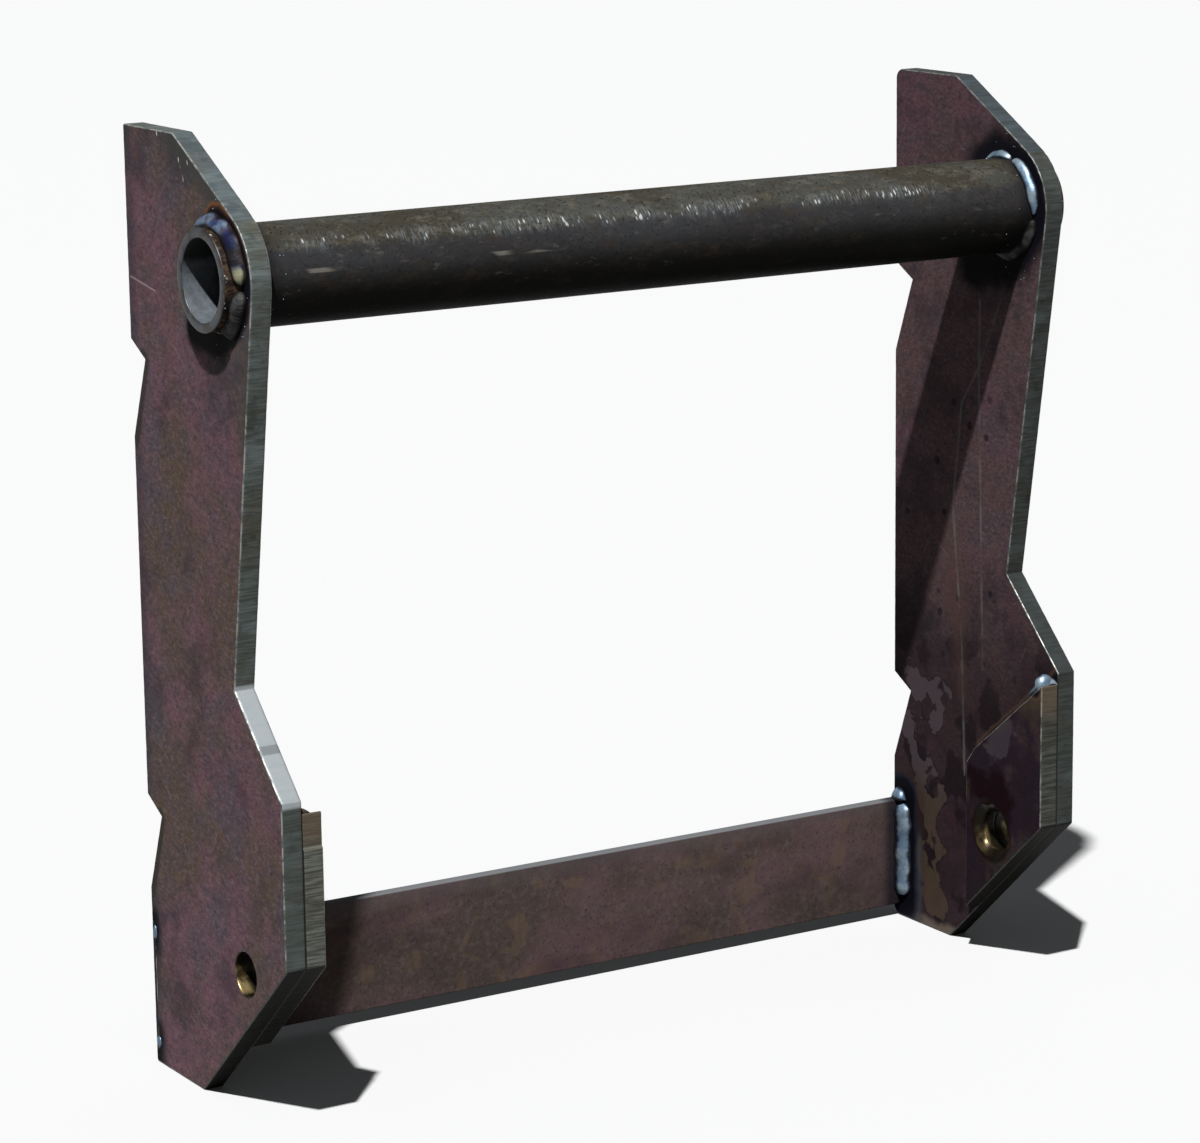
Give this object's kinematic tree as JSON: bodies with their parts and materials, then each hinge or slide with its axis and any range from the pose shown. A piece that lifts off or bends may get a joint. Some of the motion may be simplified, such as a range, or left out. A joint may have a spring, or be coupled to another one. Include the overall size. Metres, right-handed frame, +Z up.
{
  "type": "quick coupler attachment frame",
  "caption": "Weld-on loader coupler frame: notched side plates joined by a hook tube and a flat cross bar, with locking-pin bores through doubler plates.",
  "frame": {"origin": "under the middle of the frame, level with the plates' bottom edges and midway between their rear edge and their front", "axes": "+X across the frame to its right as the loader sees it, +Y towards the rear edge that is welded to the bucket, +Z up"},
  "size_m": [0.718, 0.217, 0.7],
  "materials": {
    "plate_steel": "hot-rolled mill scale with flame-cut edges",
    "tube_steel": "dark hot-rolled tube skin, lightly scratched",
    "bar_steel": "smooth dark mill scale, semi-gloss",
    "weld_bright": "as-welded rippled bead, silver-blue",
    "weld_dull": "as-welded rippled bead, dull grey"
  },
  "bodies": {
    "root": {"side_plate_left": "plate_steel", "side_plate_right": "plate_steel", "hook_tube": "tube_steel", "cross_bar": "bar_steel", "pin_doubler_left": "plate_steel", "pin_doubler_right": "plate_steel", "weld_tube_outer_upper_left": "weld_bright", "weld_tube_outer_upper_right": "weld_bright", "weld_tube_outer_lower_left": "weld_dull", "weld_tube_outer_lower_right": "weld_dull", "weld_tube_inner_crown_left": "weld_bright", "weld_tube_inner_crown_right": "weld_bright", "weld_tube_inner_front_left": "weld_bright", "weld_tube_inner_front_right": "weld_bright", "weld_tube_inner_under_left": "weld_dull", "weld_tube_inner_under_right": "weld_dull", "weld_bar_front_left": "weld_bright", "weld_bar_front_right": "weld_bright", "weld_bar_top_left": "weld_bright", "weld_bar_top_right": "weld_bright", "weld_bar_rear_left": "weld_bright", "weld_bar_rear_right": "weld_bright", "weld_doubler_tack_left": "weld_bright", "weld_doubler_tack_right": "weld_bright", "weld_doubler_top_left": "weld_dull", "weld_doubler_top_right": "weld_dull", "weld_doubler_rear_left": "weld_dull", "weld_doubler_rear_right": "weld_dull"}
  },
  "joints": []
}
